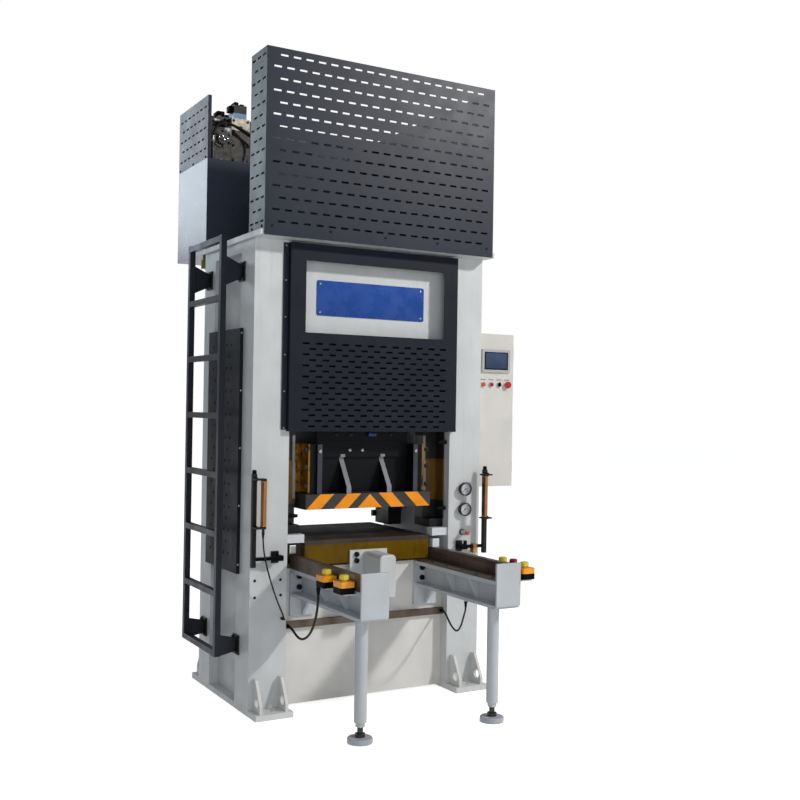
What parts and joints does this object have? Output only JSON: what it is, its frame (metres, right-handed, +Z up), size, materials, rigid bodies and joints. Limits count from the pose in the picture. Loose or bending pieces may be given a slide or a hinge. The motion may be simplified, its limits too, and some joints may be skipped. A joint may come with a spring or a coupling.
{
  "type": "hydraulic press",
  "caption": "straight-side hydraulic press with a rolling bolster, run-out arms on legs, slotted guards, light curtains, ladder, oil tank and control cabinet",
  "frame": {"origin": "middle of the four anchor holes, on the floor", "axes": "+X to the press's right as seen from the front, +Y to the back, +Z up"},
  "size_m": [1.769, 2.003, 3.332],
  "materials": {
    "frame_paint": "satin",
    "slate_paint": "satin",
    "slide_paint": "satin",
    "bolster_paint": "satin",
    "machined_steel": "machined",
    "chrome_steel": "polished",
    "bronze": "machined",
    "dark_steel": "black oxide",
    "black_plastic": "matte",
    "yellow_plastic": "gloss",
    "lime_plastic": "gloss",
    "red_plastic": "gloss",
    "screen_plastic": "gloss",
    "blue_plate": "satin",
    "curtain_paint": "satin",
    "white_pad": "matte",
    "cable_rubber": "matte",
    "needle_black": "matte",
    "galvanised": "plain"
  },
  "bodies": {
    "frame": {"foot_plates": "frame_paint", "upright_left": "frame_paint", "upright_right": "frame_paint", "bed_beam": "frame_paint", "apron_bar": "machined_steel", "crown_beam": "frame_paint", "crown_plate": "frame_paint", "locator_blocks": "white_pad", "gib_rails": "frame_paint", "name_plate": "blue_plate", "main_cylinder": "dark_steel", "front_cover": "slate_paint", "upper_guard": "slate_paint", "tank_guard": "slate_paint", "side_cover": "slate_paint", "ladder_rails": "slate_paint", "ladder_rungs": "slate_paint", "oil_tank": "slate_paint", "pump_motor": "slate_paint", "valve_block": "galvanised", "arm_left": "frame_paint", "arm_right": "frame_paint", "arm_bolts": "dark_steel", "carriage_rails": "machined_steel", "leg_tubes": "frame_paint", "button_box_bases": "black_plastic", "button_box_tops": "yellow_plastic", "curtain_frames": "dark_steel", "curtain_posts": "curtain_paint", "cabinet_body": "frame_paint", "air_gauges": "black_plastic", "box_cable": "cable_rubber", "curtain_cable": "cable_rubber", "arm_cable": "cable_rubber", "hydraulic_hoses": "cable_rubber"},
    "slide": {"slide_base": "slide_paint", "slide_body": "slide_paint", "slide_guides": "bronze", "piston_rod": "chrome_steel"},
    "bolster": {"bolster_carriage": "bolster_paint", "bolster_plate": "machined_steel", "drive_unit": "frame_paint"},
    "wheels_front": {"wheelset_front": "dark_steel"},
    "wheels_rear": {"wheelset_rear": "dark_steel"},
    "door": {"cabinet_door": "frame_paint", "touch_screen": "screen_plastic", "signal_lamp": "red_plastic"},
    "door_button": {"push_button": "red_plastic"},
    "door_selector": {"selector_switch": "black_plastic"},
    "door_stop": {"cabinet_stop": "red_plastic"},
    "hand_1": {"hand_button_1": "lime_plastic"},
    "hand_2": {"hand_button_2": "lime_plastic"},
    "hand_3": {"hand_button_3": "lime_plastic"},
    "hand_4": {"hand_button_4": "lime_plastic"},
    "stop_on_arm": {"arm_stop": "red_plastic"},
    "needle_lower": {"gauge_needle_lower": "needle_black"},
    "needle_upper": {"gauge_needle_upper": "needle_black"},
    "knob": {"regulator_knob": "red_plastic"},
    "left_foot": {"foot_left": "dark_steel"},
    "right_foot": {"foot_right": "dark_steel"}
  },
  "joints": [
    {"name": "slide_travel", "type": "slide", "parent": "frame", "child": "slide", "axis": [0, 0, 1], "range_m": [-0.145, 0.3]},
    {"name": "bolster_travel", "type": "slide", "parent": "frame", "child": "bolster", "axis": [0, -1, 0], "range_m": [0, 0.7]},
    {"name": "wheels_front_roll", "type": "hinge", "parent": "bolster", "child": "wheels_front", "pos_m": [0, -0.26, 0.7543], "axis": [1, 0, 0], "continuous": true},
    {"name": "wheels_rear_roll", "type": "hinge", "parent": "bolster", "child": "wheels_rear", "pos_m": [0, 0.26, 0.7543], "axis": [1, 0, 0], "continuous": true},
    {"name": "door_swing", "type": "hinge", "parent": "frame", "child": "door", "pos_m": [0.954, -0.302, 1.55], "axis": [0, 0, 1], "range_deg": [0, 110]},
    {"name": "door_button_press", "type": "slide", "parent": "door", "child": "door_button", "axis": [0, 1, 0], "range_m": [0, 0.004], "stiffness_N_per_m": 400, "springref_m": -0.004},
    {"name": "door_selector_turn", "type": "hinge", "parent": "door", "child": "door_selector", "pos_m": [0.847, -0.32, 1.695], "axis": [0, 1, 0], "range_deg": [-45, 45]},
    {"name": "door_stop_press", "type": "slide", "parent": "door", "child": "door_stop", "axis": [0, 1, 0], "range_m": [0, 0.004], "stiffness_N_per_m": 400, "springref_m": -0.004},
    {"name": "hand_1_press", "type": "slide", "parent": "frame", "child": "hand_1", "axis": [0, 0, -1], "range_m": [0, 0.005], "stiffness_N_per_m": 400, "springref_m": -0.005},
    {"name": "hand_2_press", "type": "slide", "parent": "frame", "child": "hand_2", "axis": [0, 0, -1], "range_m": [0, 0.005], "stiffness_N_per_m": 400, "springref_m": -0.005},
    {"name": "hand_3_press", "type": "slide", "parent": "frame", "child": "hand_3", "axis": [0, 0, -1], "range_m": [0, 0.005], "stiffness_N_per_m": 400, "springref_m": -0.005},
    {"name": "hand_4_press", "type": "slide", "parent": "frame", "child": "hand_4", "axis": [0, 0, -1], "range_m": [0, 0.005], "stiffness_N_per_m": 400, "springref_m": -0.005},
    {"name": "arm_stop_press", "type": "slide", "parent": "frame", "child": "stop_on_arm", "axis": [0, 0, -1], "range_m": [0, 0.005], "stiffness_N_per_m": 400, "springref_m": -0.005},
    {"name": "needle_lower_turn", "type": "hinge", "parent": "frame", "child": "needle_lower", "pos_m": [0.58, -0.39, 0.993], "axis": [0, 1, 0], "range_deg": [0, 270], "stiffness_Nm_per_rad": 0.01, "springref_deg": -11.46},
    {"name": "needle_upper_turn", "type": "hinge", "parent": "frame", "child": "needle_upper", "pos_m": [0.58, -0.39, 1.106], "axis": [0, 1, 0], "range_deg": [0, 270], "stiffness_Nm_per_rad": 0.01, "springref_deg": -11.46},
    {"name": "knob_turn", "type": "hinge", "parent": "frame", "child": "knob", "pos_m": [0.574, -0.42, 0.865], "axis": [0, 1, 0], "range_deg": [-360, 360]},
    {"name": "left_foot_screw", "type": "slide", "parent": "frame", "child": "left_foot", "axis": [0, 0, 1], "range_m": [0, 0.03]},
    {"name": "right_foot_screw", "type": "slide", "parent": "frame", "child": "right_foot", "axis": [0, 0, 1], "range_m": [0, 0.03]}
  ],
  "couplings": [
    {"joint": "wheels_front_roll", "follows": "bolster_travel", "rad_per_m": 33.333},
    {"joint": "wheels_rear_roll", "follows": "bolster_travel", "rad_per_m": 33.333}
  ]
}
